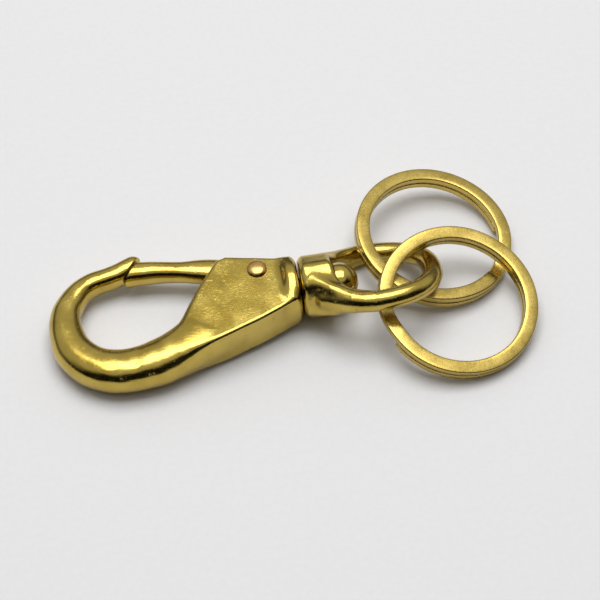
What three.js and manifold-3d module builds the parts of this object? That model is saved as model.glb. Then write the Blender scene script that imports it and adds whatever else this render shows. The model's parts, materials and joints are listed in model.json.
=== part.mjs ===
// Brass key ring: a cast swivel-eye snap hook with two split rings, lying on a flat surface.
// Units are millimetres and +Z is up. The swivel axis runs along +X, from the hook to the eye.
//
// Three frames are used:
//   the hook frame has its origin on the swivel axis at the face of the collar, with z = 0 on the
//   mid-plane of the casting, and it is tipped a little because the collar is thicker than the bow;
//   each split ring has its own frame, with its axis along z;
//   the table frame holds them all, with z = 0 on the surface they lie on.
import * as THREE from 'three';
import { mergeVertices } from 'three/addons/utils/BufferGeometryUtils.js';
import Module from 'manifold-3d';

const wasm = await Module();
wasm.setup();

// ---------------------------------------------------------------- driving dimensions

const GAP = 0.25; // clearance between neighbouring pieces
const RAD = Math.PI / 180;

const COLLAR_RADIUS = 5.35;
const COLLAR_LENGTH = 2.2;
const CHEEK_HALF_THICKNESS = 4.0;
const CHEEK_ROUNDING = 1.5;
const SLOT_HALF_WIDTH = 2.15;
const HOOK_PITCH = 3.0 * RAD; // the swivel end lies higher than the bow

const PIVOT = new THREE.Vector2(-7.0, 2.9); // rivet axis, in the hook frame
const HUB_RADIUS = 3.0;
const GATE_HALF_THICKNESS = SLOT_HALF_WIDTH - GAP;
const RIVET_RADIUS = 1.2;
const RIVET_HEAD_RADIUS = 1.8;
const RIVET_HEAD_HEIGHT = 0.9;

const SPRING_WIRE_RADIUS = 0.2;
const SPRING_COIL_RADIUS = 1.85;
const SPRING_PITCH = 0.46;
const SPRING_TURNS = 2.5;
const SPRING_POCKET_HALF_WIDTH = 1.0;

const STUD_RADIUS = 1.6;
const STUD_HEAD_RADIUS = 3.65;
const STUD_HEAD_LENGTH = 4.4;
const STUD_TAIL_RADIUS = 2.3;
const STUD_TAIL_LENGTH = 0.8;
const BORE_RADIUS = STUD_RADIUS + GAP;

const EYE_START = 0.5; // from the collar face to the eye's neck
const EYE_NECK_RADIUS = 5.2;
const EYE_BOSS_FLATS = 11.2; // across the flats of the octagonal boss
const EYE_BOSS_RADIUS = 5.8; // its ridges are rounded off to this
const EYE_BOSS_END = 6.6;
const EYE_WIRE_RADIUS = 1.9;
const EYE_HALF_WIDTH = 10.0; // to the middle of the wire
const EYE_LENGTH = 25.1; // from the collar face to the middle of the wire at the tip
const EYE_ROLL = -27 * RAD; // the eye is turned on the swivel, its front side up

const RING_RADIUS = 15.0;
const RING_WIRE_WIDTH = 2.55;
const RING_WIRE_HEIGHT = 1.35;
const RING_SEAM = 0.13; // between the two turns
const RING_WIRE_CHAMFER = 0.25;

// Each ring leans on the eye: where its centre is, which way and how far it leans down, and
// where on the ring the wire's climb from the lower turn to the upper one starts and ends.
const RINGS = [
  { name: 'split_ring_a', x: 27.3, y: 9.2, leanAzimuth: -26, lean: 10.7, ramp: [-42, 6] },
  { name: 'split_ring_b', x: 28.6, y: -7.3, leanAzimuth: -56, lean: 15.2, ramp: [174, 209] },
];

const BRASS = { color: 0xc9a23f, roughness: 0.25, metalness: 1 };
const COPPER = { color: 0xb87a45, roughness: 0.3, metalness: 1 };
const STEEL = { color: 0x8f9296, roughness: 0.35, metalness: 1 };

// ---------------------------------------------------------------- solids and meshes

function solid(geometry) {
  const bare = geometry.clone();
  bare.deleteAttribute('normal');
  bare.deleteAttribute('uv');
  const merged = mergeVertices(bare, 1e-4);
  return new wasm.Manifold(new wasm.Mesh({
    numProp: 3,
    vertProperties: new Float32Array(merged.attributes.position.array),
    triVerts: new Uint32Array(merged.index.array),
  }));
}

function union(first, ...others) {
  return others.reduce((whole, other) => whole.add(other), first);
}

function geometryOf(body) {
  const mesh = body.getMesh();
  const geometry = new THREE.BufferGeometry();
  geometry.setAttribute('position', new THREE.BufferAttribute(new Float32Array(mesh.vertProperties), 3));
  geometry.setIndex(new THREE.BufferAttribute(new Uint32Array(mesh.triVerts), 1));
  geometry.computeVertexNormals();
  return geometry;
}

function namedMesh(name, geometry, look) {
  const mesh = new THREE.Mesh(geometry, new THREE.MeshStandardMaterial(look));
  mesh.name = name;
  return mesh;
}

// A closed skin through a row of outlines that all have the same number of points, each running
// counter-clockwise about the direction of travel, with a flat cap at both ends.
function loft(outlines) {
  const sides = outlines[0].length;
  const positions = [];
  const triangles = [];
  outlines.forEach((outline) => outline.forEach((p) => positions.push(p.x, p.y, p.z)));
  for (let i = 0; i < outlines.length - 1; i += 1) {
    for (let j = 0; j < sides; j += 1) {
      const a = i * sides + j;
      const b = i * sides + ((j + 1) % sides);
      triangles.push(a, b, b + sides, a, b + sides, a + sides);
    }
  }
  const last = (outlines.length - 1) * sides;
  for (let j = 1; j < sides - 1; j += 1) {
    triangles.push(0, j + 1, j);
    triangles.push(last, last + j, last + j + 1);
  }
  const geometry = new THREE.BufferGeometry();
  geometry.setAttribute('position', new THREE.Float32BufferAttribute(positions, 3));
  geometry.setIndex(triangles);
  return geometry;
}

// A bar that bends in the plane z = 0. Each station is [x, y, half width, half height], and the
// section between stations follows a smooth curve. fullness 2 is an ellipse, more is squarer.
function bentBar(stations, steps, sides, fullness) {
  const path = new THREE.CatmullRomCurve3(stations.map(([x, y]) => new THREE.Vector3(x, y, 0)));
  const size = new THREE.CatmullRomCurve3(stations.map(([, , a, b]) => new THREE.Vector3(a, b, 0)));
  const up = new THREE.Vector3(0, 0, 1);
  const outlines = [];
  for (let i = 0; i <= steps; i += 1) {
    const at = path.getPoint(i / steps);
    const half = size.getPoint(i / steps);
    const side = up.clone().cross(path.getTangent(i / steps));
    const outline = [];
    for (let j = 0; j < sides; j += 1) {
      const angle = (2 * Math.PI * j) / sides;
      const across = Math.sign(Math.cos(angle)) * Math.abs(Math.cos(angle)) ** (2 / fullness);
      const above = Math.sign(Math.sin(angle)) * Math.abs(Math.sin(angle)) ** (2 / fullness);
      outline.push(at.clone()
        .addScaledVector(side, half.x * across)
        .addScaledVector(up, half.y * above));
    }
    outlines.push(outline);
  }
  return loft(outlines);
}

// A plate with its mid-plane at z = 0 and its outline rounded over by the given radius.
function plate(corners, halfThickness, rounding, roundingSteps = 3) {
  const outline = new THREE.Shape(corners.map(([x, y]) => new THREE.Vector2(x, y)));
  const geometry = new THREE.ExtrudeGeometry(outline, {
    depth: 2 * (halfThickness - rounding),
    curveSegments: 6,
    bevelEnabled: rounding > 0,
    bevelThickness: rounding,
    bevelSize: rounding,
    bevelOffset: -rounding,
    bevelSegments: roundingSteps,
  });
  return geometry.translate(0, 0, rounding - halfThickness);
}

// A body of revolution about X: the profile is a list of [x, radius] from low x to high x.
function turnedAboutX(profile, segments) {
  const points = profile.map(([x, radius]) => new THREE.Vector2(radius, x));
  return new THREE.LatheGeometry(points, segments).rotateZ(-Math.PI / 2);
}

// A body of revolution about Z: the profile is a list of [z, radius] from low z to high z.
function turnedAboutZ(profile, segments) {
  const points = profile.map(([z, radius]) => new THREE.Vector2(radius, z));
  return new THREE.LatheGeometry(points, segments).rotateX(Math.PI / 2);
}

// Part of a profile: a quarter ellipse from [start, radius] down to the axis.
function domeProfile(start, radius, height, steps) {
  const profile = [];
  for (let i = 0; i <= steps; i += 1) {
    const angle = (Math.PI / 2) * (i / steps);
    profile.push([start + height * Math.sin(angle), i === steps ? 0 : radius * Math.cos(angle)]);
  }
  return profile;
}

// ---------------------------------------------------------------- hook frame pieces

// The face where the gate meets the nose: it slants, so the gate closes against it from inside.
// Returns everything on the gate's side of that face, moved by the offset along its normal.
function gateSideOfNose(offset) {
  const onFace = new THREE.Vector2(-30.1, 9.2);
  const slant = 52 * RAD;
  const size = 14;
  const block = new THREE.BoxGeometry(size, size, size);
  block.translate(size / 2 + offset, 0, 0);
  block.rotateZ(slant - Math.PI / 2);
  block.translate(onFace.x, onFace.y, 0);
  return solid(block);
}

function slotForGate() {
  const corners = [[-3.7, 12], [-26, 12], [-26, -6.4], [-7, -1.2], [-3.7, 0]];
  return solid(plate(corners, SLOT_HALF_WIDTH, 0));
}

function hookBody() {
  const bow = solid(bentBar([
    [-29.6, 10.6, 2.1, 2.4],
    [-33.4, 9.2, 2.0, 2.3],
    [-38.8, 7.6, 2.1, 2.4],
    [-42.4, 3.4, 2.6, 2.8],
    [-43.3, -1.4, 3.1, 3.1],
    [-42.0, -6.8, 3.7, 3.25],
    [-38.0, -11.0, 4.0, 3.4],
    [-32.0, -12.3, 4.0, 3.6],
    [-25.0, -10.7, 4.2, 3.8],
    [-16.0, -6.8, 3.6, 3.6],
  ], 46, 16, 2.3));
  const cheeks = solid(plate([
    [-1.6, 4.6], [-12.4, 7.1], [-14.4, 6.6], [-22.8, -5.4], [-28.0, -9.0],
    [-27.6, -15.2], [-14.9, -10.9], [-7.7, -8.3], [-3.6, -6.5], [-1.4, -4.8],
  ], CHEEK_HALF_THICKNESS, CHEEK_ROUNDING));
  const collar = solid(turnedAboutX([
    [-COLLAR_LENGTH - 0.6, 0],
    [-COLLAR_LENGTH - 0.6, COLLAR_RADIUS - 1.0],
    [-COLLAR_LENGTH, COLLAR_RADIUS - 0.7],
    [-COLLAR_LENGTH + 0.5, COLLAR_RADIUS],
    [-0.5, COLLAR_RADIUS],
    [0, COLLAR_RADIUS - 0.5],
    [0, 0],
  ], 28));
  const studBore = solid(turnedAboutX([
    [-5, 0],
    [-5, STUD_TAIL_RADIUS + GAP],
    [-COLLAR_LENGTH + GAP, STUD_TAIL_RADIUS + GAP],
    [-COLLAR_LENGTH + GAP, BORE_RADIUS],
    [1, BORE_RADIUS],
    [1, 0],
  ], 20));
  const rivetHole = solid(new THREE.CylinderGeometry(
    RIVET_RADIUS + GAP, RIVET_RADIUS + GAP, 4 * CHEEK_HALF_THICKNESS, 16,
  ).rotateX(Math.PI / 2).translate(PIVOT.x, PIVOT.y, 0));
  const body = union(bow.subtract(gateSideOfNose(0)), cheeks, collar)
    .subtract(slotForGate())
    .subtract(studBore)
    .subtract(rivetHole);
  return namedMesh('hook_body', geometryOf(body), BRASS);
}

function gate() {
  const lever = solid(bentBar([
    [-8.0, 3.6, 2.2, GATE_HALF_THICKNESS],
    [-12.0, 5.9, 2.4, GATE_HALF_THICKNESS],
    [-16.5, 7.2, 2.5, GATE_HALF_THICKNESS],
    [-21.0, 8.0, 1.9, GATE_HALF_THICKNESS],
    [-26.0, 8.8, 2.0, 2.1],
    [-33.5, 9.6, 2.5, 2.3],
  ], 24, 14, 2.3));
  const hub = solid(new THREE.CylinderGeometry(HUB_RADIUS, HUB_RADIUS, 2 * GATE_HALF_THICKNESS, 28)
    .rotateX(Math.PI / 2).translate(PIVOT.x, PIVOT.y, 0));
  const springPocket = solid(plate(
    [[-3, -2], [-3, 6.4], [-8, 5.4], [-13, 5.4], [-13, -2]],
    SPRING_POCKET_HALF_WIDTH,
    0,
  ));
  const rivetHole = solid(new THREE.CylinderGeometry(RIVET_RADIUS + GAP, RIVET_RADIUS + GAP, 8, 16)
    .rotateX(Math.PI / 2).translate(PIVOT.x, PIVOT.y, 0));
  const body = union(lever, hub)
    .intersect(gateSideOfNose(GAP).add(solid(new THREE.BoxGeometry(24, 30, 10).translate(-12, 0, 0))))
    .subtract(springPocket)
    .subtract(rivetHole);
  return namedMesh('gate', geometryOf(body), BRASS);
}

function gateRivet() {
  const seat = CHEEK_HALF_THICKNESS + GAP;
  const upperHead = domeProfile(seat, RIVET_HEAD_RADIUS, RIVET_HEAD_HEIGHT, 5);
  const lowerHead = upperHead.map(([z, radius]) => [-z, radius]).reverse();
  const profile = [...lowerHead, [-seat, RIVET_RADIUS], [seat, RIVET_RADIUS], ...upperHead];
  const geometry = turnedAboutZ(profile, 20).translate(PIVOT.x, PIVOT.y, 0);
  return namedMesh('gate_rivet', geometryOf(solid(geometry)), COPPER);
}

// A torsion coil round the rivet, between the two lugs of the gate's hub: the lower leg bears on
// the floor of the slot and the upper leg on the roof of the gate's channel.
function gateSpring() {
  const coilHeight = SPRING_PITCH * SPRING_TURNS;
  const points = [new THREE.Vector3(-13.2, -1.6, -coilHeight / 2)];
  points.push(new THREE.Vector3(-10.0, 0.1, -coilHeight / 2));
  const coilSteps = SPRING_TURNS * 12;
  for (let i = 0; i <= coilSteps; i += 1) {
    const angle = -Math.PI / 2 + 2 * Math.PI * SPRING_TURNS * (i / coilSteps);
    points.push(new THREE.Vector3(
      PIVOT.x + SPRING_COIL_RADIUS * Math.cos(angle),
      PIVOT.y + SPRING_COIL_RADIUS * Math.sin(angle),
      coilHeight * (i / coilSteps - 0.5),
    ));
  }
  points.push(new THREE.Vector3(-9.6, 4.85, coilHeight / 2));
  points.push(new THREE.Vector3(-12.4, 4.95, coilHeight / 2));
  const section = new THREE.Shape();
  section.absarc(0, 0, SPRING_WIRE_RADIUS, 0, 2 * Math.PI);
  const geometry = new THREE.ExtrudeGeometry(section, {
    steps: 64,
    curveSegments: 3,
    extrudePath: new THREE.CatmullRomCurve3(points),
  });
  return namedMesh('gate_spring', geometryOf(solid(geometry)), STEEL);
}

function swivelStud() {
  const headSeat = EYE_BOSS_END + GAP;
  const rim = 1.0;
  const profile = [
    [-COLLAR_LENGTH - STUD_TAIL_LENGTH, 0],
    [-COLLAR_LENGTH - STUD_TAIL_LENGTH, STUD_TAIL_RADIUS - 0.4],
    [-COLLAR_LENGTH - STUD_TAIL_LENGTH / 2, STUD_TAIL_RADIUS],
    [-COLLAR_LENGTH, STUD_TAIL_RADIUS],
    [-COLLAR_LENGTH, STUD_RADIUS],
    [headSeat, STUD_RADIUS],
    [headSeat, STUD_HEAD_RADIUS],
    ...domeProfile(headSeat + rim, STUD_HEAD_RADIUS, STUD_HEAD_LENGTH - rim, 6),
  ];
  return namedMesh('swivel_stud', geometryOf(solid(turnedAboutX(profile, 24))), BRASS);
}

function swivelEye() {
  const neck = solid(turnedAboutX([
    [EYE_START, 0], [EYE_START, EYE_NECK_RADIUS - 0.4], [EYE_START + 0.4, EYE_NECK_RADIUS],
    [EYE_START + 2, EYE_NECK_RADIUS], [EYE_START + 2, 0],
  ], 28));
  const corner = EYE_BOSS_FLATS / 2 / Math.cos(Math.PI / 8);
  const boss = solid(turnedAboutX([
    [EYE_START + 0.8, 0], [EYE_START + 0.8, corner - 1.2], [EYE_START + 2.0, corner],
    [EYE_BOSS_END - 0.8, corner], [EYE_BOSS_END, corner - 1.0], [EYE_BOSS_END, 0],
  ], 8).rotateX(Math.PI / 8));
  const ridgeLimit = solid(new THREE.CylinderGeometry(EYE_BOSS_RADIUS, EYE_BOSS_RADIUS, 20, 48)
    .rotateZ(Math.PI / 2));
  const shoulder = solid(plate([
    [1.4, 5.0], [1.4, -5.0], [5.0, -7.9], [8.6, -9.8], [9.2, -8.0], [EYE_BOSS_END, -6.4],
    [EYE_BOSS_END, 6.4], [9.2, 8.0], [8.6, 9.8], [5.0, 7.9],
  ], EYE_WIRE_RADIUS, 0.9));
  const halfLoop = [[4.6, 6.0], [8.6, 8.6], [13.0, EYE_HALF_WIDTH], [18.0, 9.4], [21.8, 7.6], [24.3, 4.4]];
  const loop = [
    ...halfLoop,
    [EYE_LENGTH, 0],
    ...halfLoop.map(([x, y]) => [x, -y]).reverse(),
  ].map(([x, y]) => [x, y, EYE_WIRE_RADIUS, EYE_WIRE_RADIUS]);
  const wire = solid(bentBar(loop, 48, 14, 2));
  const studBore = solid(new THREE.CylinderGeometry(BORE_RADIUS, BORE_RADIUS, 18, 20)
    .rotateZ(Math.PI / 2).translate(2, 0, 0));
  const body = union(neck, boss.intersect(ridgeLimit), shoulder, wire).subtract(studBore);
  const mesh = namedMesh('swivel_eye', geometryOf(body), BRASS);
  mesh.rotation.x = EYE_ROLL;
  return mesh;
}

// ---------------------------------------------------------------- split rings

// Two turns of flat wire, one on the other. The wire runs once round below, climbs through the
// ramp, and runs once more round above, so at the ramp there is only one thickness of wire.
function splitRing({ name, x, y, leanAzimuth, lean, ramp }) {
  const rise = RING_WIRE_HEIGHT + RING_SEAM;
  const halfWidth = RING_WIRE_WIDTH / 2;
  const halfHeight = RING_WIRE_HEIGHT / 2;
  const endClearance = 1.5 * RAD;
  const [rampStart, rampEnd] = ramp;
  const rampAngle = (rampEnd - rampStart) * RAD;
  const sweep = 4 * Math.PI - rampAngle - 2 * endClearance;
  const stations = 118;
  const cut = RING_WIRE_CHAMFER;
  const section = [
    [halfWidth, cut - halfHeight], [halfWidth, halfHeight - cut],
    [halfWidth - cut, halfHeight], [cut - halfWidth, halfHeight],
    [-halfWidth, halfHeight - cut], [-halfWidth, cut - halfHeight],
    [cut - halfWidth, -halfHeight], [halfWidth - cut, -halfHeight],
  ];
  const outlines = [];
  for (let i = 0; i <= stations; i += 1) {
    const turned = endClearance + sweep * (i / stations);
    const climbed = THREE.MathUtils.smoothstep(turned, 2 * Math.PI - rampAngle, 2 * Math.PI);
    const angle = rampEnd * RAD + turned;
    const height = rise * (climbed - 0.5);
    outlines.push(section.map(([inward, up]) => {
      const radius = RING_RADIUS - halfWidth - inward;
      return new THREE.Vector3(radius * Math.cos(angle), radius * Math.sin(angle), height + up);
    }));
  }
  const mesh = namedMesh(name, geometryOf(solid(loft(outlines))), BRASS);
  const thickness = 2 * RING_WIRE_HEIGHT + RING_SEAM;
  const towards = new THREE.Vector3(Math.cos(leanAzimuth * RAD), Math.sin(leanAzimuth * RAD), 0);
  const hinge = new THREE.Vector3(0, 0, 1).cross(towards);
  mesh.quaternion.setFromAxisAngle(hinge, lean * RAD);
  const centreHeight = RING_RADIUS * Math.sin(lean * RAD) + (thickness / 2) * Math.cos(lean * RAD);
  mesh.position.set(x, y, centreHeight);
  return mesh;
}

// ---------------------------------------------------------------- assembly

const snapHook = new THREE.Group();
snapHook.add(hookBody(), gate(), gateRivet(), gateSpring(), swivelStud(), swivelEye());
snapHook.rotation.y = -HOOK_PITCH;
const bossFoot = EYE_START + 2.0;
snapHook.position.z = EYE_BOSS_RADIUS * Math.cos(HOOK_PITCH) - bossFoot * Math.sin(HOOK_PITCH);

const assembly = new THREE.Group();
assembly.add(snapHook);
RINGS.forEach((ring) => assembly.add(splitRing(ring)));

// The origin goes on the surface, under the middle of the whole object.
const keyRing = new THREE.Group();
keyRing.add(assembly);
keyRing.updateMatrixWorld(true);
const extent = new THREE.Box3().setFromObject(keyRing, true);
const middle = extent.getCenter(new THREE.Vector3());
assembly.position.set(-middle.x, -middle.y, -extent.min.z);

export default keyRing;
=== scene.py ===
import json
import math

import bpy
import numpy as np
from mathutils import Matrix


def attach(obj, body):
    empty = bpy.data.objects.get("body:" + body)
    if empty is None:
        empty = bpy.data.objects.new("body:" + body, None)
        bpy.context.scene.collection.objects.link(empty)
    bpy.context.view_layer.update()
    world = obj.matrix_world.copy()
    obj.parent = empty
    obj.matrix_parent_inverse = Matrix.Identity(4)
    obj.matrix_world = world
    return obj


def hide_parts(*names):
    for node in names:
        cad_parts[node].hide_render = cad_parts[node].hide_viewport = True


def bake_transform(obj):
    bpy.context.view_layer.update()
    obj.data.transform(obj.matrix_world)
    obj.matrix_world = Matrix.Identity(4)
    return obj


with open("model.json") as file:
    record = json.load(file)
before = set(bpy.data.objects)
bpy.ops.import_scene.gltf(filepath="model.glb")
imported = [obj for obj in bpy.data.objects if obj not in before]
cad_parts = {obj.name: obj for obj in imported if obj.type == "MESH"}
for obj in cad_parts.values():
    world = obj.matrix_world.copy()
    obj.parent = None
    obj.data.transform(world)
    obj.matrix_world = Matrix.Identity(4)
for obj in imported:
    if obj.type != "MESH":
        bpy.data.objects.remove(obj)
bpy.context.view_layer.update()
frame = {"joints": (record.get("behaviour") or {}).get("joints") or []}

import openvdb
from mathutils import Matrix, Vector

# A brass snap hook with two split rings. Shapes are worked out in millimetres, in the hook frame
# (origin on the swivel axis at the collar's face, +X to the eye, +Y to the gate, z = 0 on the
# mid-plane of the casting) or in each ring's own frame, and then placed in metres.
MM = 0.001
GAP = 0.25  # between pieces that move on each other
FILLET = 0.25  # on the small edges of a casting
CRISP = 0.05  # on the edges of holes and slots
TINY = 0.02  # a radius or step too small to see

COLLAR_RADIUS = 5.35
COLLAR_LENGTH = 2.2
COLLAR_EDGE = 0.6
COLLAR_BLEND = 2.4  # the soft hollow where the collar grows out of the cheeks
CHEEK_HALF_THICKNESS = 4.0
CHEEK_EDGE = 0.7
CHEEK_THINNING = 0.8  # towards the bow
CHEEK_EDGE_GAIN = 2.1  # towards the bow
CHEEK_BLEND = 1.5  # where the cheeks meet the bow
SLOT_HALF_WIDTH = 2.15
GATE_HALF_THICKNESS = SLOT_HALF_WIDTH - GAP
PIVOT = (-7.0, 2.9)
HUB_RADIUS = 3.0
HUB_BLEND = 0.8
RIVET_RADIUS = 1.2
RIVET_HEAD_RADIUS = 1.8
RIVET_HEAD_HEIGHT = 0.75
RIVET_HEAD_EDGE = 0.15
RIVET_HEAD_LIFT = 0.12  # of the head off the cheek
RIVET_HOLE_HALF_LENGTH = 9.0

SPRING_WIRE_RADIUS = 0.2
SPRING_COIL_RADIUS = 1.85
SPRING_HEIGHT = 1.15
SPRING_TURNS = 2.5
SPRING_LOWER_LEG = [(-13.2, -1.6), (-10.0, 0.1)]
SPRING_UPPER_LEG = [(-9.6, 4.85), (-12.4, 4.95)]

STUD_RADIUS = 1.6
STUD_HEAD_RADIUS = 3.65
STUD_HEAD_LENGTH = 4.4
STUD_TAIL_RADIUS = 2.3
STUD_TAIL_LENGTH = 0.8
STUD_EDGE = 0.3
STUD_TAIL_EDGES = (0.4, 0.1)  # outer and inner
BORE_RADIUS = STUD_RADIUS + GAP
BORE_START = -5.0
COLLAR_BORE_END = 5.0
EYE_BORE_END = 20.0

EYE_START = 0.5
EYE_NECK_RADIUS = 5.3
EYE_NECK_EDGE = 0.5
EYE_NECK_BLEND = 0.4
EYE_BOSS_FLATS = 11.2
EYE_BOSS_RADIUS = 5.85
EYE_BOSS_END = 6.6
EYE_BOSS_FACES = 8
EYE_BOSS_CORNER = 0.2
EYE_BOSS_EDGE = 0.8
EYE_WIRE_RADIUS = 1.9
EYE_ROLL = math.radians(-27)

RING_RADIUS = 15.0
RING_WIRE_WIDTH = 2.55
RING_WIRE_HEIGHT = 1.35
RING_SEAM = 0.13
RING_FILLET = 0.28
RING_CROWN = 0.025  # of each flat at its middle
RING_END_CLEARANCE = math.radians(1.5)
RING_END_ROUNDING = [0.16, 0.07, 0.02]  # how much smaller the wire is at its last stations
RING_STATIONS = 420
RING_RAMPS = {"ring_a": (-42, 6), "ring_b": (174, 209)}  # degrees, where the wire climbs a turn

joints = {joint["name"]: joint for joint in frame["joints"]}


def frame_of_hook():
    along = Vector(joints["swivel"]["axis"]).normalized()
    up = Vector(joints["gate_hinge"]["axis"]).normalized()
    place = Matrix((along, up.cross(along), up)).transposed().to_4x4()
    place.translation = Vector(joints["swivel"]["pos_m"])
    return place


def frame_of_ring(joint):
    turn = Vector((0, 0, 1)).rotation_difference(Vector(joint["axis"]))
    return Matrix.Translation(Vector(joint["pos_m"])) @ turn.to_matrix().to_4x4()


HOOK = frame_of_hook()


# ---------------------------------------------------------------- distance fields, in millimetres

def eased(value, start, end):
    share = np.clip((value - start) / (end - start), 0, 1)
    return share * share * (3 - 2 * share)


def joined(a, b, softness):
    """The nearer of two solids, with a fillet where they meet."""
    near = np.maximum(softness - np.abs(a - b), 0) / softness
    return np.minimum(a, b) - near * near * softness / 4


def kept(a, b, softness):
    """What two solids share, with its new edge rounded off."""
    return -joined(-a, -b, softness)


def cut(a, b, softness=FILLET):
    """The first solid without the second."""
    return kept(a, -b, softness)


def rounded(across, above, rounding):
    """A solid of two crossed distances, with its edge rounded."""
    across, above = across + rounding, above + rounding
    outside = np.hypot(np.maximum(across, 0), np.maximum(above, 0))
    return np.minimum(np.maximum(across, above), 0) + outside - rounding


def polygon(corners, x, y):
    """Distance to a polygon in the plane, negative inside."""
    nearest = np.full(np.broadcast(x, y).shape, 1e9)
    inside = np.full(nearest.shape, False)
    for (ax, ay), (bx, by) in zip(corners, corners[1:] + corners[:1]):
        dx, dy = bx - ax, by - ay
        share = np.clip(((x - ax) * dx + (y - ay) * dy) / (dx * dx + dy * dy), 0, 1)
        nearest = np.minimum(nearest, np.hypot(x - ax - share * dx, y - ay - share * dy))
        crosses = (ay > y) != (by > y)
        slope = dx / dy if dy else 0.0
        inside ^= crosses & (x < ax + (y - ay) * slope)
    return np.where(inside, -nearest, nearest)


def plate(corners, half_thickness, rounding, x, y, z):
    return rounded(polygon(corners, x, y), np.abs(z) - half_thickness, rounding)


def rod_x(start, end, radius, rounding, x, y, z):
    return rounded(np.hypot(y, z) - radius, np.abs(x - (start + end) / 2) - (end - start) / 2, rounding)


def rod_z(centre, radius, half_length, rounding, x, y, z):
    across = np.hypot(x - centre[0], y - centre[1]) - radius
    return rounded(across, np.abs(z) - half_length, rounding)


def spline(stations, steps):
    """A Catmull-Rom curve through the stations, as rows of evenly shared steps."""
    points = np.array(stations, float)
    points = np.vstack([2 * points[0] - points[1], points, 2 * points[-1] - points[-2]])
    rows = []
    for p0, p1, p2, p3 in zip(points, points[1:], points[2:], points[3:]):
        for t in np.arange(steps) / steps:
            rows.append(0.5 * (2 * p1 + (p2 - p0) * t + (2 * p0 - 5 * p1 + 4 * p2 - p3) * t ** 2
                               + (3 * p1 - p0 - 3 * p2 + p3) * t ** 3))
    rows.append(points[-2])
    return np.array(rows)


def bar(stations, fullness, x, y, z, steps=9):
    """A bar along stations of [x, y, half width, half height]; fullness 2 is an ellipse."""
    path = spline(stations, steps)
    nearest = np.full(np.broadcast(x, y).shape, 1e9)
    place = np.zeros(nearest.shape)
    for i, (start, end) in enumerate(zip(path, path[1:])):
        dx, dy = end[0] - start[0], end[1] - start[1]
        share = ((x - start[0]) * dx + (y - start[1]) * dy) / (dx * dx + dy * dy)
        share = np.clip(share, 0, 1)
        gap = np.hypot(x - start[0] - share * dx, y - start[1] - share * dy)
        closer = gap < nearest
        nearest = np.where(closer, gap, nearest)
        place = np.where(closer, i + share, place)
    half_width = np.interp(place, np.arange(len(path)), path[:, 2])
    half_height = np.interp(place, np.arange(len(path)), path[:, 3])
    ratio = (nearest / half_width) ** fullness + (np.abs(z) / half_height) ** fullness
    return (ratio ** (1 / fullness) - 1) * np.minimum(half_width, half_height)


def hand_polish(x, y, z, depth=0.05):
    """The slight waves that hand polishing leaves on a casting."""
    return depth * (np.sin(0.61 * x + 1.3) * np.sin(0.73 * y + 0.4) * np.cos(0.5 * z + 0.2)
                    + 0.5 * np.sin(1.37 * x + 0.9 * y) * np.sin(1.1 * z + 0.31 * x + 2.0))


# ---------------------------------------------------------------- the castings

NOSE_FACE = (-30.1, 9.2)
NOSE_FACE_HALF_LENGTH = 7.0
NOSE_SLANT = math.radians(52)
SQUARISH = 2.3  # a section a little fuller than an ellipse

BOW = [
    [-29.6, 10.6, 2.1, 2.4],
    [-33.4, 9.2, 2.0, 2.3],
    [-38.8, 7.6, 2.1, 2.4],
    [-42.4, 3.4, 2.6, 2.8],
    [-43.3, -1.4, 3.1, 3.1],
    [-42.0, -6.8, 3.6, 3.25],
    [-38.0, -11.0, 3.9, 3.4],
    [-32.0, -12.3, 4.0, 3.6],
    [-25.0, -10.7, 4.1, 3.6],
    [-16.0, -6.8, 3.4, 3.0],
]
BOW_START, BOW_FULL = -14.0, -30.0  # where the cheeks begin to turn into the bow, and have done so

GATE_LEVER = [
    [-8.0, 3.6, 2.2, GATE_HALF_THICKNESS],
    [-12.0, 5.9, 2.4, GATE_HALF_THICKNESS],
    [-16.5, 7.2, 2.4, GATE_HALF_THICKNESS],
    [-21.0, 8.0, 1.9, GATE_HALF_THICKNESS],
    [-26.0, 8.8, 2.0, 2.1],
    [-33.5, 9.6, 2.5, 2.3],
]
GATE_SLOT_END = -22.0  # beyond it the gate is free of the cheeks and may be thicker
GATE_END_SWELL = 0.6
GATE_TIP_START = -24.0

CHEEKS = [
    (-0.9, 4.5), (-12.4, 7.1), (-14.2, 6.5), (-18.6, 0.9), (-22.8, -5.4), (-27.6, -8.8), (-31.5, -9.8),
    (-31.5, -14.8), (-27.4, -15.0), (-14.9, -10.9), (-7.7, -8.3), (-3.6, -6.5), (-0.9, -5.0),
]

SLOT = [(-3.7, 12), (-26, 12), (-26, -6.4), (-7, -1.2), (-3.7, 0)]

SPRING_POCKET = [(-3, -2), (-3, 6.4), (-8, 5.4), (-13, 5.4), (-13, -2)]
SPRING_POCKET_HALF_WIDTH = 1.0

HALF_LOOP = [[4.6, 5.9], [8.6, 8.6], [13.0, 10.0], [18.0, 9.4], [21.8, 7.6], [24.3, 4.4]]
LOOP_TIP = [25.1, 0]

SHOULDER = [
    (1.4, 4.6), (1.4, -4.6), (5.0, -7.7), (8.8, -10.1), (13.5, -11.2), (13.5, -9.0), (8.0, -3.0),
    (8.0, 3.0), (13.5, 9.0), (13.5, 11.2), (8.8, 10.1), (5.0, 7.7),
]
SHOULDER_SWELL = 2.1  # how much thicker than the wire it is beside the boss
SHOULDER_FADE = (2.5, 11.5)  # from full swell to none

SHOULDER_BLEND = 1.7  # where it meets the boss
LOOP_BLEND = 0.8  # where it meets the loop

OPENING_MIDDLE = 15.0  # where the eye's opening is widest
OPENING_REACH = 8.5  # from there back to the boss
OPENING_HALF_WIDTH = 8.1
OPENING_FULLNESS = 2.5
OPENING_EDGE = 1.0


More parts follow.
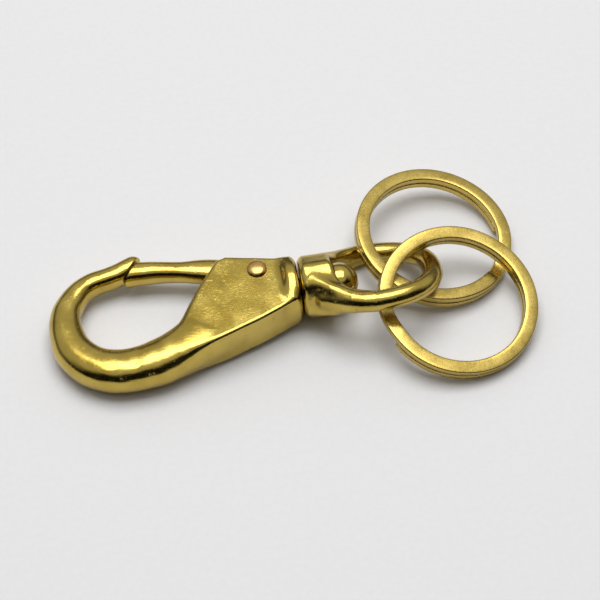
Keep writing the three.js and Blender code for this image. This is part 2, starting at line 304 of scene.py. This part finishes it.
def past_nose_face(x, y):
    """How far a point is on the gate's side of the slanted face, and where it is along the face."""
    dx, dy = x - NOSE_FACE[0], y - NOSE_FACE[1]
    sine, cosine = math.sin(NOSE_SLANT), math.cos(NOSE_SLANT)
    return dx * sine - dy * cosine, dx * cosine + dy * sine


def rivet_hole(x, y, z):
    return rod_z(PIVOT, RIVET_RADIUS + GAP, RIVET_HOLE_HALF_LENGTH, CRISP, x, y, z)


def hook_body(x, y, z):
    past, along = past_nose_face(x, y)
    mouth_side = np.maximum(-past, np.abs(along) - NOSE_FACE_HALF_LENGTH)
    bow = cut(bar(BOW, SQUARISH, x, y, z), mouth_side)
    into_bow = eased(x, BOW_START, BOW_FULL)
    half_thickness = CHEEK_HALF_THICKNESS - CHEEK_THINNING * into_bow
    cheeks = plate(CHEEKS, half_thickness, CHEEK_EDGE + CHEEK_EDGE_GAIN * into_bow, x, y, z)
    body = joined(bow, cheeks, CHEEK_BLEND)
    collar = rod_x(-COLLAR_LENGTH + 0.2, 0, COLLAR_RADIUS, COLLAR_EDGE, x, y, z)
    body = joined(body, collar, COLLAR_BLEND) + hand_polish(x, y, z, 0.02 + 0.03 * into_bow)
    body = cut(body, plate(SLOT, SLOT_HALF_WIDTH, CRISP, x, y, z))
    tail_room = rod_x(BORE_START, -COLLAR_LENGTH + GAP, STUD_TAIL_RADIUS + GAP, CRISP, x, y, z)
    body = cut(body, tail_room)
    body = cut(body, rod_x(BORE_START, COLLAR_BORE_END, BORE_RADIUS, CRISP, x, y, z))
    return cut(body, rivet_hole(x, y, z))


def gate(x, y, z):
    past, _ = past_nose_face(x, y)
    lever = bar(GATE_LEVER, SQUARISH, x, y, z)
    hub = rod_z(PIVOT, HUB_RADIUS, GATE_HALF_THICKNESS, FILLET, x, y, z)
    behind_nose = np.minimum(GAP - past, GATE_TIP_START - x)
    body = kept(joined(lever, hub, HUB_BLEND), behind_nose, FILLET) + hand_polish(x, y, z, 0.03)
    swell = GATE_END_SWELL * np.clip(GATE_SLOT_END - x, 0, 1)
    body = np.maximum(body, np.abs(z) - GATE_HALF_THICKNESS - swell)
    body = cut(body, plate(SPRING_POCKET, SPRING_POCKET_HALF_WIDTH, CRISP, x, y, z))
    return cut(body, rivet_hole(x, y, z))


def swivel_eye(x, y, z):
    neck = rod_x(EYE_START, EYE_START + 2, EYE_NECK_RADIUS, EYE_NECK_EDGE, x, y, z)
    facets = np.hypot(y, z) - EYE_BOSS_RADIUS
    for k in range(EYE_BOSS_FACES):
        angle = k * 2 * math.pi / EYE_BOSS_FACES
        face = y * math.cos(angle) + z * math.sin(angle) - EYE_BOSS_FLATS / 2
        facets = kept(facets, face, EYE_BOSS_CORNER)
    start, end = EYE_START + 0.4, EYE_BOSS_END + 1.6
    boss = kept(facets, np.abs(x - (start + end) / 2) - (end - start) / 2, EYE_BOSS_EDGE)
    swell = SHOULDER_SWELL * (1 - eased(x, *SHOULDER_FADE))
    shoulder = plate(SHOULDER, EYE_WIRE_RADIUS + swell, EYE_WIRE_RADIUS - CRISP, x, y, z)
    loop = HALF_LOOP + [LOOP_TIP] + [[px, -py] for px, py in reversed(HALF_LOOP)]
    loop = [[px, py, EYE_WIRE_RADIUS, EYE_WIRE_RADIUS] for px, py in loop]
    wire = joined(bar(loop, 2, x, y, z), shoulder, LOOP_BLEND)
    boss = joined(boss, neck, EYE_NECK_BLEND)
    body = joined(boss, wire, SHOULDER_BLEND) + hand_polish(x, y, z, 0.02)
    back = np.abs(np.minimum(x - OPENING_MIDDLE, 0)) / OPENING_REACH
    across = np.abs(y) / OPENING_HALF_WIDTH
    opening = (back ** OPENING_FULLNESS + across ** OPENING_FULLNESS) ** (1 / OPENING_FULLNESS) - 1
    opening = np.maximum(opening * OPENING_HALF_WIDTH, x - OPENING_MIDDLE)
    body = cut(body, opening, OPENING_EDGE)
    seat = rod_x(EYE_BOSS_END, EYE_BORE_END, STUD_HEAD_RADIUS + GAP, CRISP, x, y, z)
    return cut(cut(body, seat), rod_x(BORE_START, EYE_BORE_END, BORE_RADIUS, CRISP, x, y, z))


SLOPE_STEP = 0.01
SETTLING_ROUNDS = 3


def cast(name, distance, low, high, voxel, place):
    """The casting's skin: a mesh about as fine as voxel, with every vertex on the true surface."""
    axes = [np.arange(a, b, voxel) for a, b in zip(low, high)]
    field = distance(axes[0][:, None, None], axes[1][None, :, None], axes[2][None, None, :])
    field = np.broadcast_to(field, [len(axis) for axis in axes])
    grid = openvdb.FloatGrid()
    grid.copyFromArray(np.ascontiguousarray(field, np.float32))
    points, quads = grid.convertToQuads(isovalue=0.0)
    points = points.astype(float) * voxel + np.array(low)
    for _ in range(SETTLING_ROUNDS):
        here = distance(*points.T)
        slopes = []
        for step in SLOPE_STEP * np.eye(3):
            rise = distance(*(points + step).T) - distance(*(points - step).T)
            slopes.append(rise / (2 * SLOPE_STEP))
        slope = np.stack(slopes, axis=1)
        move = -slope * (here / np.maximum((slope ** 2).sum(1), 0.05))[:, None]
        size = np.linalg.norm(move, axis=1, keepdims=True)
        points += move * np.minimum(1, 0.5 * voxel / np.maximum(size, 1e-9))
    return mesh_object(name, points, quads.tolist(), place)


# ---------------------------------------------------------------- meshes

def mesh_object(name, points, faces, place):
    """A smooth mesh from points in millimetres, turned so that its faces point out."""
    corners = np.array([[face[0], face[1], face[2]] for face in faces])
    a, b, c = (points[corners[:, i]] for i in range(3))
    if np.einsum("ij,ij->i", a - points.mean(0), np.cross(b - a, c - a)).sum() < 0:
        faces = [face[::-1] for face in faces]
    mesh = bpy.data.meshes.new(name)
    mesh.from_pydata((np.asarray(points) * MM).tolist(), [], faces)
    mesh.transform(place)
    mesh.shade_smooth()
    piece = bpy.data.objects.new(name, mesh)
    bpy.context.scene.collection.objects.link(piece)
    return piece


def skin(name, outlines, place):
    """A skin through a row of outlines, capped with a fan at each end."""
    outlines = np.array(outlines)
    rows, sides, _ = outlines.shape
    points = outlines.reshape(-1, 3)
    faces = []
    for i in range(rows - 1):
        for j in range(sides):
            k = (j + 1) % sides
            faces.append([i * sides + j, i * sides + k, (i + 1) * sides + k, (i + 1) * sides + j])
    points = np.vstack([points, outlines[0].mean(0), outlines[-1].mean(0)])
    first, last = rows * sides, (rows - 1) * sides
    for j in range(sides):
        k = (j + 1) % sides
        faces.append([first, k, j])
        faces.append([first + 1, last + j, last + k])
    return mesh_object(name, points, faces, place)


def turned(name, profile, place, sides=72):
    """A body of revolution about its own X axis: the profile is a list of (x, radius)."""
    angles = 2 * math.pi * np.arange(sides) / sides
    outlines = [np.stack([np.full(sides, x), r * np.cos(angles), r * np.sin(angles)], axis=1)
                for x, r in profile]
    return skin(name, outlines, place)


def arc(centre, radii, start, end, steps):
    """Points (x, radius) round a quarter of an ellipse; angles in degrees, 90 is outward."""
    angles = np.radians(np.linspace(start, end, steps + 1))
    return [(centre[0] + radii[0] * math.cos(a), centre[1] + radii[1] * math.sin(a)) for a in angles]


def swivel_stud():
    seat = EYE_BOSS_END + GAP
    tail_end = -COLLAR_LENGTH - STUD_TAIL_LENGTH
    outer, inner = STUD_TAIL_EDGES
    rim = 1.0
    profile = [(tail_end, TINY)]
    profile += arc((tail_end + outer, STUD_TAIL_RADIUS - outer), (outer, outer), 180, 90, 5)
    profile += arc((-COLLAR_LENGTH - inner, STUD_TAIL_RADIUS - inner), (inner, inner), 90, 0, 3)
    profile += [(-COLLAR_LENGTH, STUD_RADIUS + TINY), (-COLLAR_LENGTH + TINY, STUD_RADIUS)]
    profile += [(seat - TINY, STUD_RADIUS), (seat, STUD_RADIUS + TINY)]
    profile += arc((seat + STUD_EDGE, STUD_HEAD_RADIUS - STUD_EDGE), (STUD_EDGE, STUD_EDGE), 180, 90, 5)
    profile += arc((seat + rim, TINY), (STUD_HEAD_LENGTH - rim, STUD_HEAD_RADIUS - TINY), 90, 0, 18)
    return turned("swivel_stud_turned", profile, HOOK)


def gate_rivet():
    seat = CHEEK_HALF_THICKNESS + RIVET_HEAD_LIFT
    edge = RIVET_HEAD_EDGE
    head = [(seat, RIVET_RADIUS), (seat + TINY, RIVET_RADIUS + TINY)]
    head += arc((seat + edge, RIVET_HEAD_RADIUS - edge), (edge, edge), 180, 90, 4)
    head += arc((seat + edge, TINY), (RIVET_HEAD_HEIGHT - edge, RIVET_HEAD_RADIUS - TINY), 90, 0, 12)
    profile = [(-x, r) for x, r in reversed(head)] + head
    to_pivot = Matrix.Translation(Vector((*PIVOT, 0)) * MM)
    upright = to_pivot @ Matrix.Rotation(-math.pi / 2, 4, "Y")
    return turned("gate_rivet_head_and_shank", profile, HOOK @ upright, sides=56)


def gate_spring():
    """A torsion coil: the lower leg bears on the slot's floor, the upper one on the gate."""
    path = [(x, y, -SPRING_HEIGHT / 2) for x, y in SPRING_LOWER_LEG]
    steps = round(SPRING_TURNS * 12)
    for i in range(steps + 1):
        angle = 2 * math.pi * SPRING_TURNS * i / steps - math.pi / 2
        path.append((PIVOT[0] + SPRING_COIL_RADIUS * math.cos(angle),
                     PIVOT[1] + SPRING_COIL_RADIUS * math.sin(angle),
                     SPRING_HEIGHT * (i / steps - 0.5)))
    path += [(x, y, SPRING_HEIGHT / 2) for x, y in SPRING_UPPER_LEG]
    curve = spline(path, 4)
    tangents = np.gradient(curve, axis=0)
    tangents /= np.linalg.norm(tangents, axis=1, keepdims=True)
    side = np.cross(tangents, [0, 0, 1.0])
    side /= np.linalg.norm(side, axis=1, keepdims=True)
    above = np.cross(side, tangents)
    angles = 2 * math.pi * np.arange(12) / 12
    outlines = [point + SPRING_WIRE_RADIUS * (np.outer(np.cos(angles), s) + np.outer(np.sin(angles), u))
                for point, s, u in zip(curve, side, above)]
    return skin("gate_spring_coil", outlines, HOOK)


def wire_section(shrink):
    """The flat wire's section with rounded corners and slightly crowned flats."""
    half_width = RING_WIRE_WIDTH / 2 - shrink
    half_height = RING_WIRE_HEIGHT / 2 - shrink
    points = []
    for corner in range(4):
        cx = (half_width - RING_FILLET) * (1, -1, -1, 1)[corner]
        cy = (half_height - RING_FILLET) * (1, 1, -1, -1)[corner]
        for step in range(5):
            angle = math.pi / 2 * (corner + step / 4)
            points.append((cx + RING_FILLET * math.cos(angle), cy + RING_FILLET * math.sin(angle)))
        if corner in (0, 2):
            facing = 1 if corner == 0 else -1
            for share in (0.25, 0.5, 0.75):
                bulge = RING_CROWN * 4 * share * (1 - share)
                points.append((cx * (1 - 2 * share), facing * (half_height + bulge)))
    return points


def split_ring(name, ramp_start, ramp_end, place):
    """Two turns of flat wire: once round below, up through the ramp, and once more above."""
    rise = RING_WIRE_HEIGHT + RING_SEAM
    ramp = ramp_end - ramp_start
    sweep = 4 * math.pi - ramp - 2 * RING_END_CLEARANCE
    outlines = []
    for i in range(RING_STATIONS + 1):
        turn = RING_END_CLEARANCE + sweep * i / RING_STATIONS
        climb = min(max((turn - 2 * math.pi + ramp) / ramp, 0), 1)
        height = rise * (climb * climb * (3 - 2 * climb) - 0.5)
        angle = ramp_end + turn
        from_end = min(i, RING_STATIONS - i)
        shrink = RING_END_ROUNDING[from_end] if from_end < len(RING_END_ROUNDING) else 0
        waver = 0.03 * math.sin(2.0 * angle + 0.7) + 0.02 * math.sin(5.0 * turn)
        outline = []
        for across, above in wire_section(shrink):
            radius = RING_RADIUS - RING_WIRE_WIDTH / 2 + across + waver
            outline.append((radius * math.cos(angle), radius * math.sin(angle), height + above))
        outlines.append(outline)
    return skin(name, outlines, place)


# ---------------------------------------------------------------- materials

class Nodes:
    """A short way to write a node tree."""

    def __init__(self, material):
        material.use_nodes = True
        self.tree = material.node_tree
        self.shader = self.tree.nodes["Principled BSDF"]
        self.place = self.tree.nodes.new("ShaderNodeTexCoord").outputs["Object"]

    def add(self, kind, inputs, **settings):
        node = self.tree.nodes.new(kind)
        for key, value in settings.items():
            setattr(node, key, value)
        for key, value in inputs.items():
            self.set(node.inputs[key], value)
        return node

    def set(self, socket, value):
        if isinstance(value, bpy.types.NodeSocket):
            self.tree.links.new(value, socket)
        else:
            socket.default_value = value

    def noise(self, scale, detail=4.0, roughness=0.55, stretch=None):
        place = self.place
        if stretch:
            place = self.add("ShaderNodeMapping", {"Vector": place, "Scale": stretch}).outputs[0]
        inputs = {"Vector": place, "Scale": scale, "Detail": detail, "Roughness": roughness}
        return self.add("ShaderNodeTexNoise", inputs).outputs["Fac"]

    def ramp(self, value, low, high, out_low=0.0, out_high=1.0):
        inputs = {"Value": value, "From Min": low, "From Max": high, "To Min": out_low, "To Max": out_high}
        return self.add("ShaderNodeMapRange", inputs).outputs["Result"]

    def mix(self, share, first, second):
        node = self.add("ShaderNodeMix", {0: share, 6: first, 7: second}, data_type="RGBA")
        return node.outputs[2]

    def maths(self, operation, first, second):
        return self.add("ShaderNodeMath", {0: first, 1: second}, operation=operation).outputs[0]


# Sizes of the metals' grain, as noise scales for metres
GRAIN_SCALE = 2600
PIT_SCALE = 1500
PIT_GROUP_SCALE = 420
WAVE_SCALE = 330
SCRATCH_SCALE = 900
RECESS_SHADE = 0.42  # of the deep tone, for the painted shade in recesses and the darker pits


def metal(name, bright, deep, roughness, mottling, pits, depth, waves, scratches):
    """Polished metal: two tones in soft patches, fine pits drawn darker, faint scratches, and painted
    shade in recesses.
    """
    material = bpy.data.materials.new(name)
    nodes = Nodes(material)
    patches = nodes.noise(mottling, 5.0)
    fine = nodes.noise(GRAIN_SCALE, 3.0)
    pitted = nodes.ramp(nodes.noise(PIT_SCALE, 4.0, 0.65), 0.60, 0.72)
    sparse = nodes.ramp(nodes.noise(PIT_GROUP_SCALE, 2.0), 0.52, 0.66)
    pit = nodes.maths("MULTIPLY", nodes.maths("MULTIPLY", pitted, sparse), pits)
    # Painted shade: where the surface is hollow (low pointiness), the tone is mixed toward a dark copy of
    # the deep tone; pits get the same darkening.
    edge = nodes.tree.nodes.new("ShaderNodeNewGeometry").outputs["Pointiness"]
    painted_recess_shade = nodes.ramp(edge, 0.38, 0.49, 0.55, 0.0)
    tone = nodes.mix(nodes.ramp(patches, 0.35, 0.65), (*deep, 1), (*bright, 1))
    shade = tuple(RECESS_SHADE * c for c in deep)
    tone = nodes.mix(nodes.maths("MAXIMUM", painted_recess_shade, nodes.maths("MULTIPLY", pit, 0.6)), tone, (*shade, 1))
    nodes.set(nodes.shader.inputs["Base Color"], tone)
    nodes.shader.inputs["Metallic"].default_value = 1.0
    dull = nodes.ramp(patches, 0.3, 0.7, roughness[0], roughness[1])
    dull = nodes.maths("ADD", dull, nodes.ramp(fine, 0.4, 0.7, -0.02, 0.06))
    dull = nodes.maths("ADD", dull, nodes.maths("MULTIPLY", pit, 0.25))
    nodes.set(nodes.shader.inputs["Roughness"], dull)
    scratch = nodes.noise(SCRATCH_SCALE, 3.0, 0.6, stretch=scratches)
    height = nodes.maths("SUBTRACT", nodes.maths("MULTIPLY", fine, 0.55), pit)
    height = nodes.maths("ADD", height, nodes.maths("MULTIPLY", scratch, 0.35))
    height = nodes.maths("ADD", height, nodes.maths("MULTIPLY", nodes.noise(WAVE_SCALE, 2.0), waves))
    bump = nodes.add("ShaderNodeBump", {"Height": height, "Distance": depth, "Strength": 1.0})
    nodes.set(nodes.shader.inputs["Normal"], bump.outputs[0])
    return material


CAST_BRASS = metal(
    "cast_brass", bright=(0.575, 0.43, 0.1), deep=(0.46, 0.33, 0.066), roughness=(0.13, 0.22),
    mottling=190, pits=1.5, depth=2.6e-5, waves=0.35, scratches=(1.0, 6.0, 6.0))
TURNED_BRASS = metal(
    "turned_brass", bright=(0.6, 0.45, 0.11), deep=(0.5, 0.36, 0.075), roughness=(0.12, 0.2),
    mottling=260, pits=0.4, depth=0.8e-5, waves=0.5, scratches=(9.0, 1.0, 1.0))
RING_BRASS = metal(
    "ring_brass", bright=(0.56, 0.42, 0.115), deep=(0.47, 0.34, 0.082), roughness=(0.2, 0.29),
    mottling=300, pits=0.5, depth=1.0e-5, waves=0.2, scratches=(1.0, 1.0, 7.0))
COPPER = metal(
    "rivet_copper", bright=(0.68, 0.42, 0.14), deep=(0.52, 0.3, 0.09), roughness=(0.2, 0.3),
    mottling=420, pits=0.6, depth=1.2e-5, waves=0.8, scratches=(3.0, 3.0, 1.0))
STEEL = metal(
    "spring_steel", bright=(0.5, 0.5, 0.52), deep=(0.36, 0.36, 0.38), roughness=(0.22, 0.35),
    mottling=600, pits=0.3, depth=0.5e-5, waves=0.3, scratches=(1.0, 1.0, 5.0))


# ---------------------------------------------------------------- pieces

def place_piece(piece, body, node, material):
    """The piece looks like material, moves with body and stands for the CAD's node."""
    piece.data.materials.append(material)
    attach(piece, body)
    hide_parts(node)


eye_frame = HOOK @ Matrix.Rotation(EYE_ROLL, 4, "X")
hook_piece = cast("hook_body_casting", hook_body, (-48, -17.5, -6.2), (1, 14.5, 6.2), 0.17, HOOK)
gate_piece = cast("gate_casting", gate, (-35, -1.5, -3), (-3, 12.5, 3), 0.13, HOOK)
eye_piece = cast("swivel_eye_casting", swivel_eye, (0, -13, -6.6), (28, 13, 6.6), 0.15, eye_frame)
place_piece(hook_piece, "hook", "hook_body", CAST_BRASS)
place_piece(gate_piece, "gate", "gate", CAST_BRASS)
place_piece(eye_piece, "eye", "swivel_eye", CAST_BRASS)
place_piece(swivel_stud(), "hook", "swivel_stud", TURNED_BRASS)
place_piece(gate_rivet(), "hook", "gate_rivet", COPPER)

# The coil is placed at rest and attached to neither the hook nor the gate.
coil = gate_spring()
coil.data.materials.append(STEEL)
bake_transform(coil)
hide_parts("gate_spring")

for body, ramp in RING_RAMPS.items():
    ring_frame = frame_of_ring(joints[body + "_spin"])
    wire = split_ring(body + "_wire", *map(math.radians, ramp), ring_frame)
    place_piece(wire, body, "split_" + body, RING_BRASS)


# ---------------------------------------------------------------- floor, light and camera

def pale_floor():
    """A wide flat sheet of pale paper with a fine grain."""
    size, cells = 1.6, 8
    row = cells + 1
    points = []
    for j in range(row):
        for i in range(row):
            points.append((size * (2 * i / cells - 1), size * (2 * j / cells - 1), 0.0))
    faces = []
    for j in range(cells):
        for i in range(cells):
            corner = j * row + i
            faces.append([corner, corner + 1, corner + row + 1, corner + row])
    mesh = bpy.data.meshes.new("floor")
    mesh.from_pydata(points, [], faces)
    floor = bpy.data.objects.new("floor", mesh)
    bpy.context.scene.collection.objects.link(floor)
    material = bpy.data.materials.new("floor_paper")
    nodes = Nodes(material)
    grain = nodes.noise(900, 6.0)
    paper = nodes.mix(grain, (0.79, 0.785, 0.79, 1), (0.85, 0.845, 0.85, 1))
    nodes.set(nodes.shader.inputs["Base Color"], paper)
    nodes.shader.inputs["Roughness"].default_value = 0.8
    bump = nodes.add("ShaderNodeBump", {"Height": grain, "Distance": 3e-5, "Strength": 0.5})
    nodes.set(nodes.shader.inputs["Normal"], bump.outputs[0])
    mesh.materials.append(material)


# Brightness of the tent against height, from straight down (0) to straight up (1)
FRONT_TENT = [(0.0, 0.01), (0.66, 0.01), (0.74, 0.1), (0.8, 0.8), (1.0, 0.9)]
REAR_TENT = [(0.0, 0.12), (0.25, 0.25), (0.42, 0.75), (1.0, 0.95)]
TENT_STRENGTH = 0.7


def studio_world():
    """A bright tent above and behind, dark low down in front."""
    world = bpy.data.worlds.new("studio")
    bpy.context.scene.world = world
    world.use_nodes = True
    tree = world.node_tree
    background = tree.nodes["Background"]
    coordinates = tree.nodes.new("ShaderNodeTexCoord")
    split = tree.nodes.new("ShaderNodeSeparateXYZ")
    tree.links.new(coordinates.outputs["Generated"], split.inputs[0])

    def ramp(stops, value):
        node = tree.nodes.new("ShaderNodeValToRGB")
        tree.links.new(value, node.inputs[0])
        elements = node.color_ramp.elements
        while len(elements) < len(stops):
            elements.new(0.5)
        for element, (position, level) in zip(elements, stops):
            element.position = position
            element.color = (level, level, level, 1)
        return node.outputs[0]

    front = ramp(FRONT_TENT, split.outputs["Z"])
    rear = ramp(REAR_TENT, split.outputs["Z"])
    side = tree.nodes.new("ShaderNodeMapRange")
    tree.links.new(split.outputs["Y"], side.inputs["Value"])
    side.inputs["From Min"].default_value = -0.35
    side.inputs["From Max"].default_value = 0.15
    mix = tree.nodes.new("ShaderNodeMix")
    mix.data_type = "RGBA"
    tree.links.new(side.outputs[0], mix.inputs[0])
    tree.links.new(front, mix.inputs[6])
    tree.links.new(rear, mix.inputs[7])
    tree.links.new(mix.outputs[2], background.inputs["Color"])
    background.inputs["Strength"].default_value = TENT_STRENGTH


def facing(direction):
    """The turn of a lamp or a camera that looks along direction."""
    return direction.to_track_quat("-Z", "Y").to_euler()


def softbox(name, at, size, watts):
    """A rectangular lamp that shines on the origin."""
    light = bpy.data.lights.new(name, "AREA")
    light.shape = "RECTANGLE"
    light.size, light.size_y = size
    light.energy = watts
    lamp = bpy.data.objects.new(name, light)
    lamp.location = at
    lamp.rotation_euler = facing(-Vector(at))
    bpy.context.scene.collection.objects.link(lamp)


CAMERA_ANGLE = math.radians(15.5)
CAMERA_AIM = Vector((0.0020, 0.00055, 0))
CAMERA_AZIMUTH = math.radians(9.0)  # to the left of straight in front
CAMERA_ELEVATION = math.radians(53.155)
CAMERA_DISTANCE = 0.4126


def main_camera():
    camera = bpy.data.cameras.new("camera")
    camera.sensor_width = 36
    camera.angle = CAMERA_ANGLE
    camera.clip_start = 0.01
    holder = bpy.data.objects.new("camera", camera)
    bpy.context.scene.collection.objects.link(holder)
    level = math.cos(CAMERA_ELEVATION)
    back = Vector((-math.sin(CAMERA_AZIMUTH) * level, -math.cos(CAMERA_AZIMUTH) * level,
                   math.sin(CAMERA_ELEVATION)))
    holder.location = CAMERA_AIM + back * CAMERA_DISTANCE
    holder.rotation_euler = facing(-back)
    bpy.context.scene.camera = holder


pale_floor()
studio_world()
softbox("overhead", (0.015, 0.14, 0.75), (0.6, 0.5), 3.9)
main_camera()
bpy.context.scene.view_settings.view_transform = "Standard"
